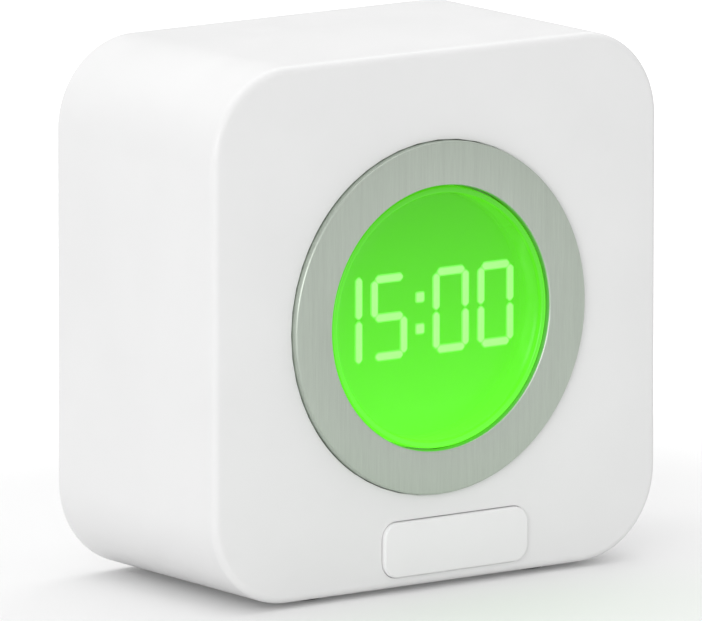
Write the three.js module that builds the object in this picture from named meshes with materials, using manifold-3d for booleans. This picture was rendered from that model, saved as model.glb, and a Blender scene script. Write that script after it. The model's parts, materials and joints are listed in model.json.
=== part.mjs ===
// Desk countdown timer: a square casing with a turning dial ring round a lit display that presses in to start.
//
// All pieces are laid out in the face frame: x to the right and y up as one looks at the dial, z out of the
// dial towards the viewer, with the middle of the casing at the origin. The group at the end of the file
// stands that frame up, so that the dial faces -Y, +Z is up and the four feet stand on z = 0. Millimetres.

import * as THREE from "three";
import { mergeVertices } from "three/addons/utils/BufferGeometryUtils.js";
import Module from "manifold-3d";

const wasm = await Module();
wasm.setup();

// ---------------------------------------------------------------- driving dimensions

// Clearances: between faces that are clamped or glued, round a piece in its pocket, and round what moves.
const gap = { seat: 0.2, fit: 0.3, run: 0.4 };

const casing = { width: 80, height: 79, depth: 40, corner: 13.3, edge: 1.2, sideWall: 2, frontWall: 2.4 };

const dial = {
  ringInner: 19.6,
  ringWidth: 6.5,
  ringThick: 1.6,
  ringChamfer: 0.3,
  proud: 1, // how far the metal ring stands out of the casing's face
  flangeThick: 1.2,
  hubWall: 2.7,
  washerThick: 0.5,
  wellFloor: 2,
  wellWall: 2.6,
};

const gears = { module: 1, pressureAngle: 25, addendum: 0.8, dedendum: 1.1, backlash: 0.16, thick: 2.5 };
const ringGear = { rim: 2.8 }; // how far its pitch circle lies outside the dial's hub
const pinion = { teeth: 12, azimuth: -52, bore: 2.3 };

const lens = {
  travel: 0.5,
  rimSet: 0.4, // how far its rim lies below the front of the metal ring
  dishDepth: 2.6,
  floor: 1.4,
  rimWidth: 0.9,
  fillet: 1.9,
  rimRound: 0.4,
  skirtWall: 0.9,
  skirtDepth: 7.6,
  hookWidth: 4,
  hookReach: 1.1,
  hookThick: 1,
  legWidth: 5,
};
const hookAngles = [90, 210, 330];

const chassis = {
  floor: 2,
  tubeWall: 1.3,
  rim: 1.1,
  earWidth: 6,
  postRadius: 3,
  postAzimuth: 15, // above and below the dial's level
  postClear: 3.8, // between a post and the ring gear
};

const display = { plateThick: 0.6, segmentProud: 0.2, reflectorDepth: 4.2, wall: 1, boardThick: 1.2 };
// The digits of a display of this size. They grow and shrink with its plate, and keep this margin to its edge.
const digitDesign = {
  margin: 0.25,
  width: 6.5,
  height: 12.7,
  stroke: 1.35,
  slit: 0.4,
  pitch: 8.1,
  colonPitch: 11.15,
  dot: 1.55,
  dotRise: 2.35,
};
const led = { side: 2.8, height: 1, spread: 9 };
const header = { width: 15, thick: 2.5, y: 15 };

const mainBoard = { width: 55, height: 68, wingMargin: 6, thick: 1.6, behindChassis: 4.6 };
const processor = { side: 7, height: 1 };
const encoder = { side: 11.7, height: 4.5, bushRadius: 3.2, bushLength: 3, shaftRadius: 2, shaftProud: 0.6 };
const startSwitch = { side: 6, height: 3.2, plungerRadius: 1.7, plungerDepth: 1.2 };

const cover = { thick: 2.6, edge: 0.5 };
const boss = { radius: 3.2, inset: 1.3, pilotDepth: 10 };
const badge = { width: 26, height: 8.2, corner: 2.4, thick: 1.1, recess: 0.6, edge: 0.25, x: 3, drop: 33.7 };
const foot = { radius: 4.5, proud: 0.8, recess: 0.8, x: 20, z: 12, edge: 0.2 };

const ioBoard = { width: 38, thick: 1.6, rise: 6.5, clear: 3.8 }; // rise above the casing's bottom wall
const ioShelf = { width: 6, depth: 9, thick: 3 };
const usb = { x: -9, width: 8.94, height: 3.2, corner: 1.3, wall: 0.3, length: 7.3, set: 0.8, mouthDepth: 6.2 };
const usbTongue = { width: 6.7, thick: 0.7, set: 1 };
const powerSwitch = { x: 9, width: 8.6, height: 3.6, depth: 3.8, travel: 2, stemX: 2.2, stemY: 1.8, stemBite: 2 };
const knob = { width: 3.6, height: 3, thick: 1.9, proud: 1, ridge: 0.3, ridges: 3 };
const lightPipe = { radius: 1, flange: 1.7, flangeThick: 0.8 };
const statusLed = { width: 1.6, height: 2, depth: 1.2 };
const sound = { y: 24, holeRadius: 0.9, pitch: 3, rings: 2 };
const buzzer = { radius: 6, height: 8.5, mouthRadius: 1.5, mouthDepth: 1.5 };
const battery = { width: 42, height: 30, thick: 8, y: -2, edge: 1.5, padThick: 0.8, padMargin: 4 };
const tray = { wall: 1.2, height: 6, corner: 5 };
const plug = { width: 6, height: 4.4, depth: 5, x: -14, y: 22 };
const lead = { radius: 0.6, spacing: 2.2 };
const ribbon = { width: 6, thick: 0.3, x: 0, y: -20 };
const labelRecess = { width: 34, height: 12, corner: 1.5, depth: 0.3, y: 3 };

// Screws: the gear's, the boards' and the cover's. A shank stands gap.seat clear of its hole all round.
const gearScrew = { shank: 0.65, head: 1.3, headThick: 0.9, bite: 2.4, count: 3 };
const boardScrew = { shank: 0.85, head: 1.9, headThick: 1.1, bite: 5 };
const ioScrew = { shank: 0.65, head: 1.3, headThick: 0.9, bite: 2 };
const coverScrew = { shank: 0.9, head: 2.1, headThick: 1.2, bite: 8, set: 0.3, cross: true };
const driveSlot = { width: 0.28, length: 1.5, depth: 0.6 }; // as shares of a screw's head

// Sides of the circles: large ones, middling ones and small ones.
const sides = { large: 48, middle: 24, small: 12, tiny: 8, hole: 6 };

// ---------------------------------------------------------------- places worked out from them

const faceZ = casing.depth / 2;
const rearZ = -casing.depth / 2;
const inner = {
  halfWidth: casing.width / 2 - casing.sideWall,
  halfHeight: casing.height / 2 - casing.sideWall,
  corner: casing.corner - casing.sideWall,
  frontZ: faceZ - casing.frontWall,
};

const lensOuter = dial.ringInner - gap.fit;
const tubeInner = lensOuter + gap.fit;
const tubeOuter = tubeInner + chassis.tubeWall;
const hubInner = tubeOuter + 2 * gap.fit;
const hubOuter = hubInner + dial.hubWall;
const ringOuter = dial.ringInner + dial.ringWidth;

const ringFront = faceZ + dial.proud;
const ringBack = ringFront - dial.ringThick;
const flangeFront = ringBack - gap.seat;
const flangeBack = flangeFront - dial.flangeThick;
const washerFront = flangeBack - gap.seat;
const washerBack = washerFront - dial.washerThick;
const wellFront = washerBack - gap.seat;
const wellBack = wellFront - dial.wellFloor;
const gearFront = wellBack - gap.fit;
const gearBack = gearFront - gears.thick;
const wellRadius = ringOuter + gap.run;
const openingRadius = hubOuter + gap.run;
const hubBack = gearFront + gap.seat;
const gearScrewRadius = (hubInner + hubOuter) / 2;

const pitchRadius = (teeth) => (teeth * gears.module) / 2;
const ringTeeth = Math.round((2 * (hubOuter + ringGear.rim)) / gears.module);
const gearDistance = pitchRadius(ringTeeth) + pitchRadius(pinion.teeth);
const radians = THREE.MathUtils.degToRad;
const atAngle = (radius, degrees) => [radius * Math.cos(radians(degrees)), radius * Math.sin(radians(degrees))];
const [pinionX, pinionY] = atAngle(gearDistance, pinion.azimuth);
const gearTip = pitchRadius(ringTeeth) + gears.addendum * gears.module;
const [postX, postY] = atAngle(gearTip + chassis.postClear + chassis.postRadius, chassis.postAzimuth);

const lensRim = ringFront - lens.rimSet;
const dishFloor = lensRim - lens.dishDepth;
const lensBack = dishFloor - lens.floor;
const skirtBack = lensRim - lens.skirtDepth;
const skirtInner = lensOuter - lens.skirtWall;
const hookFront = skirtBack + lens.hookThick;
const legY = -(skirtInner + lensOuter) / 2;

const plateFront = lensBack - lens.travel - gap.run - display.segmentProud;
const plateBack = plateFront - display.plateThick;
const reflectorFront = plateBack - gap.seat;
const reflectorBack = reflectorFront - display.reflectorDepth;
const reflectorRadius = skirtInner - gap.fit;
const digitSpread = digitDesign.colonPitch / 2 + digitDesign.pitch + digitDesign.width / 2;
const digitCorner = Math.hypot(digitSpread, (digitDesign.height - digitDesign.stroke) / 2);
const digitScale = (reflectorRadius - digitDesign.margin) / digitCorner;
const digit = Object.fromEntries(Object.entries(digitDesign).map(([size, value]) => [size, value * digitScale]));

const displayBoardFront = reflectorBack - gap.seat;
const displayBoardBack = displayBoardFront - display.boardThick;
const tubeFront = flangeBack - gap.run;
const chassisFront = displayBoardBack - gap.seat;
const chassisBack = chassisFront - chassis.floor;
const mainFront = chassisBack - mainBoard.behindChassis;
const mainBack = mainFront - mainBoard.thick;

const switchBack = mainFront + gap.seat;
const switchTop = switchBack + startSwitch.height;
const plungerTip = switchTop + lens.travel + gap.fit;
const encoderBack = mainFront + gap.seat;
const encoderTop = encoderBack + encoder.height;

const coverInner = rearZ + cover.thick;
const bossOffset = (inner.corner - boss.radius - boss.inset) / Math.SQRT2;
const bossX = casing.width / 2 - casing.corner + bossOffset;
const bossY = casing.height / 2 - casing.corner + bossOffset;
const bossBack = coverInner + gap.seat;
const postBack = chassisFront + gap.seat;

const bottomY = -casing.height / 2;
const floorY = bottomY - foot.proud;
const ioTop = ioBoard.rise - inner.halfHeight;
const ioBottom = ioTop - ioBoard.thick;
const ioRear = coverInner + gap.fit;
const ioFront = mainBack - ioBoard.clear;
const shelfTop = ioBottom - gap.seat;
const shelfX = ioBoard.width / 2 - ioShelf.width / 2;
const ioScrewZ = coverInner + ioShelf.depth / 2 + 1;
const usbY = ioTop + gap.seat + usb.height / 2;
const usbMouth = rearZ + usb.set;
const switchY = ioTop + gap.seat + powerSwitch.height / 2;
const powerBack = coverInner + gap.fit;
const powerFront = powerBack + powerSwitch.depth;
const knobBack = rearZ - knob.proud;
const knobFront = knobBack + knob.thick;

const batteryPadBack = coverInner + gap.seat;
const batteryBack = batteryPadBack + battery.padThick + gap.seat;
const batteryFront = batteryBack + battery.thick;
const batteryTop = battery.y + battery.height / 2;

// ---------------------------------------------------------------- geometry helpers

// A closed geometry as a manifold solid, and back.
function solid(geometry) {
  const bare = geometry.index ? geometry.toNonIndexed() : geometry.clone();
  bare.deleteAttribute("normal");
  bare.deleteAttribute("uv");
  const merged = mergeVertices(bare, 1e-4);
  const index = merged.index.array;
  const kept = [];
  for (let i = 0; i < index.length; i += 3) {
    const [a, b, c] = index.slice(i, i + 3);
    if (a !== b && b !== c && a !== c) kept.push(a, b, c);
  }
  return new wasm.Manifold(
    new wasm.Mesh({
      numProp: 3,
      vertProperties: Float32Array.from(merged.attributes.position.array),
      triVerts: Uint32Array.from(kept),
    }),
  );
}

function geometryOf(body) {
  const mesh = body.getMesh();
  const geometry = new THREE.BufferGeometry();
  geometry.setAttribute("position", new THREE.BufferAttribute(mesh.vertProperties, 3));
  geometry.setIndex(new THREE.BufferAttribute(mesh.triVerts, 1));
  geometry.computeVertexNormals();
  return geometry;
}

const joined = (...bodies) => bodies.reduce((whole, body) => whole.add(body));
const cut = (body, ...tools) => tools.reduce((rest, tool) => rest.subtract(tool), body);

const polygon = (points) => new THREE.Shape(points.map(([x, y]) => new THREE.Vector2(x, y)));

function roundedRect(width, height, corner, x = 0, y = 0) {
  const [a, b] = [width / 2 - corner, height / 2 - corner];
  const shape = new THREE.Shape();
  shape.moveTo(x + a + corner, y - b);
  shape.absarc(x + a, y + b, corner, 0, Math.PI / 2);
  shape.absarc(x - a, y + b, corner, Math.PI / 2, Math.PI);
  shape.absarc(x - a, y - b, corner, Math.PI, Math.PI * 1.5);
  shape.absarc(x + a, y - b, corner, Math.PI * 1.5, Math.PI * 2);
  return shape;
}

// A shape extruded from one z to another. Each quarter turn of its outline has curveSegments sides.
function prism(shape, back, front, curveSegments = 4) {
  const options = { depth: front - back, bevelEnabled: false, curveSegments };
  return solid(new THREE.ExtrudeGeometry(shape, options).translate(0, 0, back));
}

// The same with its front and back edges rounded, inside the size that it is given.
function roundedSlab({ width, height, corner, back, front, edge, x = 0, y = 0, steps = 2, curveSegments = 4 }) {
  const outline = roundedRect(width - 2 * edge, height - 2 * edge, corner - edge, x, y);
  const options = {
    depth: front - back - 2 * edge,
    bevelThickness: edge,
    bevelSize: edge,
    bevelSegments: steps,
    curveSegments,
  };
  return solid(new THREE.ExtrudeGeometry(outline, options).translate(0, 0, back + edge));
}

function box(width, height, back, front, x = 0, y = 0) {
  return solid(new THREE.BoxGeometry(width, height, front - back).translate(x, y, (back + front) / 2));
}

function rod(radius, back, front, x = 0, y = 0, count = sides.small) {
  const upright = new THREE.CylinderGeometry(radius, radius, front - back, count).rotateX(Math.PI / 2);
  return solid(upright.translate(x, y, (back + front) / 2));
}

// A rod along y instead of z.
function pillar(radius, bottom, top, x, z, count = sides.small) {
  return solid(new THREE.CylinderGeometry(radius, radius, top - bottom, count).translate(x, (bottom + top) / 2, z));
}

// A closed profile of [radius, z] points, anticlockwise in the r-z plane, turned about the z axis.
function turned(profile, count) {
  const points = [...profile, profile[0]].map(([r, z]) => new THREE.Vector2(r, z));
  return solid(new THREE.LatheGeometry(points, count).rotateX(Math.PI / 2));
}

const annulus = (innerRadius, outerRadius, back, front, count = sides.large) =>
  turned([[innerRadius, back], [outerRadius, back], [outerRadius, front], [innerRadius, front]], count);

// Points of a profile along an arc centred on [r, z], from one angle to another in degrees.
function arc(r, z, radius, from, to, steps) {
  return Array.from({ length: steps + 1 }, (_, i) => {
    const angle = radians(from + ((to - from) * i) / steps);
    return [r + radius * Math.cos(angle), z + radius * Math.sin(angle)];
  });
}

const quadrants = [[1, 1], [-1, 1], [-1, -1], [1, -1]];

// A pan-head screw, slotted or with a cross recess, driven towards +z. Its head bears on the plane z = seat.
function screw({ shank, head, headThick, cross }, seat, tip, x, y) {
  const [width, length, depth] = [driveSlot.width, driveSlot.length, driveSlot.depth].map((share) => share * head);
  const headBack = seat - headThick;
  const body = joined(
    rod(head, headBack, seat, x, y),
    rod(shank, seat - headThick / 4, tip, x, y, sides.tiny),
  );
  const recessFront = headBack + depth;
  const slotted = cut(body, box(cross ? length : 2.2 * head, width, headBack - 1, recessFront, x, y));
  return cross ? cut(slotted, box(width, length, headBack - 1, recessFront, x, y)) : slotted;
}

// ---------------------------------------------------------------- materials

const finish = (color, roughness, metalness = 0, more = {}) => ({ color, roughness, metalness, ...more });

const finishes = {
  whitePlastic: finish(0xf0f0f0, 0.45),
  greyPlastic: finish(0x9a9c9b, 0.6),
  blackPlastic: finish(0x1b1c1e, 0.5),
  acetal: finish(0xe6e4da, 0.4),
  brushedMetal: finish(0xb0b4af, 0.4, 1),
  steel: finish(0xa8aaad, 0.35, 1),
  diffuser: finish(0x5fe62e, 0.4, 0, { emissive: 0x2f9010 }),
  segments: finish(0xaaff8c, 0.5, 0, { emissive: 0x609a48 }),
  circuitBoard: finish(0x1d5c37, 0.5),
  rubber: finish(0x2a2b2c, 0.9),
  silicone: finish(0xd8d8d4, 0.8),
  clearPlastic: finish(0xf4f5f4, 0.1),
  cellFoil: finish(0xb9bcc0, 0.4, 0.6),
  ledPackage: finish(0xf2efdc, 0.4),
  redSleeve: finish(0xb3201c, 0.5),
  blackSleeve: finish(0x17181a, 0.5),
};

const timer = new THREE.Group();

function piece(name, body, look) {
  const mesh = new THREE.Mesh(geometryOf(body), new THREE.MeshStandardMaterial(finishes[look]));
  mesh.name = name;
  timer.add(mesh);
}

// ---------------------------------------------------------------- casing

// A rib that ties a corner boss to the casing's rounded corner, half a wall deep into it.
function bossRib(sx, sy) {
  const reach = boss.radius + boss.inset + casing.sideWall / 2;
  const depth = inner.frontZ + casing.frontWall / 2 - bossBack;
  const rib = new THREE.BoxGeometry(reach, casing.sideWall, depth).translate(reach / 2, 0, bossBack + depth / 2);
  rib.rotateZ(Math.atan2(sy, sx)).translate(sx * bossX, sy * bossY, 0);
  return solid(rib);
}

function badgeSlab(grow, back, front, edge) {
  const [width, height] = [badge.width + 2 * grow, badge.height + 2 * grow];
  return roundedSlab({ width, height, corner: badge.corner + grow, back, front, edge, x: badge.x, y: -badge.drop });
}

function frontShell() {
  const outside = roundedSlab({ ...casing, back: rearZ, front: faceZ, curveSegments: 6 });
  const inside = roundedRect(2 * inner.halfWidth, 2 * inner.halfHeight, inner.corner);
  const wellRing = rod(wellRadius + dial.wellWall, wellBack, faceZ - casing.frontWall / 2, 0, 0, sides.large);
  let body = joined(cut(outside, prism(inside, rearZ - 1, inner.frontZ, 6)), wellRing);
  const wallMiddle = inner.frontZ + casing.frontWall / 2;
  quadrants.forEach(([sx, sy]) => {
    const post = rod(chassis.postRadius, postBack, wallMiddle, sx * postX, sy * postY);
    body = joined(body, rod(boss.radius, bossBack, wallMiddle, sx * bossX, sy * bossY), bossRib(sx, sy), post);
  });

  const bossPilot = coverScrew.shank + gap.seat;
  const postPilot = boardScrew.shank + gap.seat;
  const postTip = postBack + boardScrew.bite + gap.fit;
  const cuts = quadrants.flatMap(([sx, sy]) => [
    rod(bossPilot, bossBack - 1, bossBack + boss.pilotDepth, sx * bossX, sy * bossY, sides.tiny),
    rod(postPilot, postBack - 1, postTip, sx * postX, sy * postY, sides.tiny),
    pillar(foot.radius + gap.seat, bottomY - 1, bottomY + foot.recess, sx * foot.x, sy * foot.z, sides.middle),
  ]);
  return cut(
    body,
    rod(wellRadius, wellFront, faceZ + 1, 0, 0, sides.large),
    rod(openingRadius, wellBack - 1, faceZ, 0, 0, sides.large),
    badgeSlab(gap.seat, faceZ - badge.recess, faceZ + 1, badge.edge),
    ...cuts,
  );
}

function soundHoles() {
  const places = [[0, 0]];
  for (let ring = 1; ring <= sound.rings; ring += 1) {
    for (let i = 0; i < 6 * ring; i += 1) places.push(atAngle(ring * sound.pitch, (i * 60) / ring));
  }
  return places.map(([x, y]) => rod(sound.holeRadius, rearZ - 1, coverInner + 1, x, y + sound.y, sides.hole));
}

// The low wall that keeps the cell in its place on the cover.
function batteryTray() {
  const [width, height] = [battery.width + 2 * gap.fit, battery.height + 2 * gap.fit];
  const front = coverInner + tray.height;
  const outside = box(width + 2 * tray.wall, height + 2 * tray.wall, coverInner - 1, front, 0, battery.y);
  const inside = box(width, height, coverInner - 2, front + 1, 0, battery.y);
  // Only the corners stand: the walls are open between them.
  const acrossGap = box(width - 2 * tray.corner, height + 4 * tray.wall, coverInner, front + 1, 0, battery.y);
  const sideGap = box(width + 4 * tray.wall, height - 2 * tray.corner, coverInner, front + 1, 0, battery.y);
  return cut(outside, inside, acrossGap, sideGap);
}

function usbOpening(grow, back, front) {
  const [width, height] = [usb.width + 2 * grow, usb.height + 2 * grow];
  return prism(roundedRect(width, height, usb.corner + grow, usb.x, usbY), back, front);
}

function rearCover() {
  const plate = roundedSlab({
    width: 2 * (inner.halfWidth - gap.seat),
    height: 2 * (inner.halfHeight - gap.seat),
    corner: inner.corner - gap.seat,
    back: rearZ,
    front: coverInner,
    edge: cover.edge,
    curveSegments: 6,
  });
  let body = joined(plate, batteryTray());
  [-1, 1].forEach((sx) => {
    const shelfMiddle = shelfTop - ioShelf.thick / 2;
    const shelfFront = coverInner + ioShelf.depth;
    body = joined(body, box(ioShelf.width, ioShelf.thick, coverInner - 1, shelfFront, sx * shelfX, shelfMiddle));
  });

  const headSeat = rearZ + coverScrew.set + coverScrew.headThick + gap.seat;
  const cornerCuts = quadrants.flatMap(([sx, sy]) => [
    rod(coverScrew.head + gap.fit, rearZ - 1, headSeat, sx * bossX, sy * bossY, sides.middle),
    rod(coverScrew.shank + gap.seat, rearZ, coverInner + 1, sx * bossX, sy * bossY, sides.tiny),
  ]);
  const shelfCuts = [-1, 1].map((sx) =>
    pillar(ioScrew.shank + gap.seat, shelfTop - ioShelf.thick - 1, shelfTop + 1, sx * shelfX, ioScrewZ, sides.tiny),
  );
  const knobRoom = knob.width + powerSwitch.travel + 2 * gap.fit;
  const stemRoom = powerSwitch.stemX + powerSwitch.travel + 2 * gap.fit;
  const knobFloor = knobFront + gap.fit;
  return cut(
    body,
    ...cornerCuts,
    ...shelfCuts,
    ...soundHoles(),
    usbOpening(gap.fit, rearZ - 1, coverInner + 1),
    box(knobRoom, knob.height + 2 * gap.fit, rearZ - 1, knobFloor, powerSwitch.x, switchY),
    box(stemRoom, powerSwitch.stemY + 2 * gap.fit, rearZ, coverInner + 1, powerSwitch.x, switchY),
    rod(lightPipe.radius + gap.seat, rearZ - 1, coverInner + 1, 0, usbY),
    prism(
      roundedRect(labelRecess.width, labelRecess.height, labelRecess.corner, 0, labelRecess.y),
      rearZ - 1,
      rearZ + labelRecess.depth,
    ),
  );
}

piece("front_shell", frontShell(), "whitePlastic");
piece("rear_cover", rearCover(), "whitePlastic");
piece("name_plate", badgeSlab(0, faceZ - badge.recess + gap.seat, faceZ - badge.recess + gap.seat + badge.thick, badge.edge), "whitePlastic");

quadrants.forEach(([sx, sy], i) => {
  const seat = rearZ + coverScrew.set + coverScrew.headThick;
  piece(`cover_screw_${i + 1}`, screw(coverScrew, seat, bossBack + coverScrew.bite, sx * bossX, sy * bossY), "steel");
});

quadrants.forEach(([sx, sz], i) => {
  const top = bottomY + foot.recess - gap.seat;
  const disc = [
    [0, floorY],
    [foot.radius - foot.edge, floorY],
    [foot.radius, floorY + foot.edge],
    [foot.radius, top],
    [0, top],
  ].map(([r, y]) => new THREE.Vector2(r, y));
  const pad = new THREE.LatheGeometry(disc, sides.middle).translate(sx * foot.x, 0, sz * foot.z);
  piece(`rubber_foot_${i + 1}`, solid(pad), "rubber");
});

// ---------------------------------------------------------------- dial

function dialRing() {
  const [outer, hole, chamfer] = [ringOuter, dial.ringInner, dial.ringChamfer];
  return turned(
    [
      [hole, ringBack],
      [outer, ringBack],
      [outer, ringFront - chamfer],
      [outer - chamfer, ringFront],
      [hole + chamfer, ringFront],
      [hole, ringFront - chamfer],
    ],
    sides.large,
  );
}

const gearScrewAngles = Array.from({ length: gearScrew.count }, (_, i) => 30 + (i * 360) / gearScrew.count);

function gearScrewHoles(back, front) {
  return gearScrewAngles.map((angle) => {
    const [x, y] = atAngle(gearScrewRadius, angle);
    return rod(gearScrew.shank + gap.seat, back, front, x, y, sides.tiny);
  });
}

// A flange that carries the metal ring, and a hub that reaches through the casing's opening to the ring gear.
function dialCarrier() {
  const flangeInner = dial.ringInner + gap.fit;
  const body = turned(
    [
      [flangeInner, flangeBack],
      [hubInner, flangeBack],
      [hubInner, hubBack],
      [hubOuter, hubBack],
      [hubOuter, flangeBack],
      [ringOuter, flangeBack],
      [ringOuter, flangeFront],
      [flangeInner, flangeFront],
    ],
    sides.large,
  );
  return cut(body, ...gearScrewHoles(hubBack - 1, hubBack + gearScrew.bite + gap.seat));
}

// The outline of an involute gear with a tooth on the +x axis, before it is turned by phase degrees.
function gearOutline(teeth, phase) {
  const pitch = pitchRadius(teeth);
  const base = pitch * Math.cos(radians(gears.pressureAngle));
  const tip = pitch + gears.addendum * gears.module;
  const root = pitch - gears.dedendum * gears.module;
  const involute = (radius) => {
    const roll = Math.sqrt(Math.max((radius / base) ** 2 - 1, 0));
    return roll - Math.atan(roll);
  };
  const halfTooth = Math.PI / (2 * teeth) - gears.backlash / (2 * pitch);
  const halfAngle = (radius) => halfTooth + involute(pitch) - involute(Math.max(radius, base));
  const flank = base > root ? [root, base, pitch, tip] : [root, pitch, tip];
  const points = [];
  for (let tooth = 0; tooth < teeth; tooth += 1) {
    const middle = (tooth * 2 * Math.PI) / teeth + radians(phase);
    flank.forEach((r) => points.push([r, middle - halfAngle(r)]));
    [...flank].reverse().forEach((r) => points.push([r, middle + halfAngle(r)]));
  }
  return polygon(points.map(([r, angle]) => [r * Math.cos(angle), r * Math.sin(angle)]));
}

// The gears mesh on the line from the dial's axis to the pinion's: a tooth of one in a space of the other.
const ringGearBody = cut(
  prism(gearOutline(ringTeeth, pinion.azimuth), gearBack, gearFront),
  rod(hubInner, gearBack - 1, gearFront + 1, 0, 0, sides.large),
  ...gearScrewHoles(gearBack - 1, gearFront + 1),
);
const pinionPhase = pinion.azimuth + 180 + 180 / pinion.teeth;

piece("dial_ring", dialRing(), "brushedMetal");
piece("dial_carrier", dialCarrier(), "blackPlastic");
piece(
  "glide_washer",
  annulus(openingRadius + gap.fit, wellRadius - gap.fit, washerBack, washerFront),
  "acetal",
);
piece("ring_gear", ringGearBody, "acetal");
gearScrewAngles.forEach((angle, i) => {
  const [x, y] = atAngle(gearScrewRadius, angle);
  piece(`gear_screw_${i + 1}`, screw(gearScrew, gearBack - gap.seat, hubBack + gearScrew.bite, x, y), "steel");
});

// ---------------------------------------------------------------- encoder that reads the dial

const pinionBody = cut(
  prism(gearOutline(pinion.teeth, pinionPhase), gearBack, gearFront),
  rod(pinion.bore, gearBack - 1, gearFront + 1, 0, 0),
).translate([pinionX, pinionY, 0]);

const encoderHousing = cut(
  joined(
    box(encoder.side, encoder.side, encoderBack, encoderTop, pinionX, pinionY),
    rod(encoder.bushRadius, encoderTop - 1, encoderTop + encoder.bushLength, pinionX, pinionY),
  ),
  rod(encoder.shaftRadius + gap.fit, encoderBack + 1, encoderTop + encoder.bushLength + 1, pinionX, pinionY),
);
const encoderShaft = rod(
  encoder.shaftRadius,
  encoderBack + 1 + gap.fit,
  gearFront + encoder.shaftProud,
  pinionX,
  pinionY,
);

piece("encoder_pinion", pinionBody, "acetal");
piece("encoder_body", encoderHousing, "greyPlastic");
piece("encoder_shaft", encoderShaft, "steel");

// ---------------------------------------------------------------- display that presses in

function displayLens() {
  const [outer, rim, fillet, round] = [lensOuter, lensOuter - lens.rimWidth, lens.fillet, lens.rimRound];
  const bowl = turned(
    [
      [0, lensBack],
      [skirtInner, lensBack],
      [skirtInner, skirtBack],
      [outer, skirtBack],
      ...arc(outer - round, lensRim - round, round, 0, 90, 2),
      [rim, lensRim],
      ...arc(rim - fillet, dishFloor + fillet, fillet, 0, -90, 4),
      [0, dishFloor],
    ],
    sides.large,
  );
  let body = bowl;
  hookAngles.forEach((angle) => {
    const reach = lens.skirtWall + lens.hookReach;
    const hook = new THREE.BoxGeometry(reach, lens.hookWidth, lens.hookThick);
    hook.translate(lensOuter + lens.hookReach - reach / 2 - 0.2, 0, skirtBack + lens.hookThick / 2);
    body = joined(body, solid(hook.rotateZ(radians(angle))));
  });
  return joined(body, legStrip(0, plungerTip + gap.seat, skirtBack + 1));
}

// The strip of the skirt that reaches back as a leg to the start switch, grown by a clearance all round.
function legStrip(grow, back, front) {
  const curved = annulus(skirtInner - grow, lensOuter + grow, back, front);
  return curved.intersect(box(lens.legWidth + 2 * grow, 6, back - 1, front + 1, 0, legY));
}

// The way through a board or plate for that leg.
const legSlot = (back, front) => legStrip(gap.run, back - 1, front + 1);

// The slot for the connector between the two boards.
const headerSlot = (back, front) =>
  box(header.width + 2 * gap.run, header.thick + 2 * gap.run, back - 1, front + 1, 0, header.y);

// A tube round the lens, a floor behind the display and four ears on the posts of the casing.
function displayChassis() {
  let body = joined(
    annulus(tubeInner, tubeOuter, chassisBack, tubeFront),
    rod(tubeOuter + chassis.rim, chassisBack, chassisFront, 0, 0, sides.large),
  );
  const earSpan = 2 * (postX + chassis.earWidth / 2);
  [-1, 1].forEach((sy) => {
    body = joined(body, box(earSpan, chassis.earWidth, chassisBack, chassisFront, 0, sy * postY));
  });
  quadrants.forEach(([sx, sy]) => {
    const [x, y] = [sx * postX, sy * postY];
    body = joined(body, rod(chassis.postRadius, mainFront + gap.seat, chassisFront - 1, x, y));
  });
  const screwHoles = quadrants.map(([sx, sy]) => {
    const [x, y] = [sx * postX, sy * postY];
    return rod(boardScrew.shank + gap.seat, mainFront, chassisFront + 1, x, y, sides.tiny);
  });
  const windowBack = skirtBack - lens.travel - gap.run;
  const windows = hookAngles.map((angle) => {
    const reach = 2 * chassis.tubeWall + 2;
    const opening = new THREE.BoxGeometry(reach, lens.hookWidth + 2 * gap.run, hookFront + gap.seat - windowBack);
    opening.translate(tubeInner + chassis.tubeWall, 0, (hookFront + gap.seat + windowBack) / 2);
    return solid(opening.rotateZ(radians(angle)));
  });
  return cut(
    body,
    ...screwHoles,
    ...windows,
    legSlot(chassisBack, chassisFront),
    headerSlot(chassisBack, chassisFront),
  );
}

// Where each digit's middle lies along x, from left to right.
const digitCentres = [-1, 1].flatMap((side) => {
  const near = (side * digit.colonPitch) / 2;
  const far = near + side * digit.pitch;
  return side < 0 ? [far, near] : [near, far];
});

// One segment of a digit: a bar with pointed ends, standing or lying, proud of the plate.
function segment(x, y, length, upright) {
  const [half, point] = [length / 2, digit.stroke / 2];
  const bar = [
    [half, 0],
    [half - point, point],
    [point - half, point],
    [-half, 0],
    [point - half, -point],
    [half - point, -point],
  ];
  const placed = bar.map(([u, v]) => (upright ? [x - v, y + u] : [x + u, y + v]));
  return prism(polygon(placed), plateBack + display.plateThick / 2, plateFront + display.segmentProud);
}

function digitPlate() {
  const acrossLength = digit.width - digit.stroke - 2 * digit.slit;
  const uprightLength = (digit.height - digit.stroke) / 2 - 2 * digit.slit;
  const right = (digit.width - digit.stroke) / 2;
  const top = (digit.height - digit.stroke) / 2;
  const bars = digitCentres.flatMap((x) => [
    ...[-top, 0, top].map((y) => segment(x, y, acrossLength, false)),
    ...quadrants.map(([sx, sy]) => segment(x + sx * right, (sy * top) / 2, uprightLength, true)),
  ]);
  const dots = [-1, 1].map((side) => {
    const back = plateBack + display.plateThick / 2;
    return box(digit.dot, digit.dot, back, plateFront + display.segmentProud, 0, side * digit.dotRise);
  });
  return joined(rod(reflectorRadius, plateBack, plateFront, 0, 0, sides.large), ...bars, ...dots);
}

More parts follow.
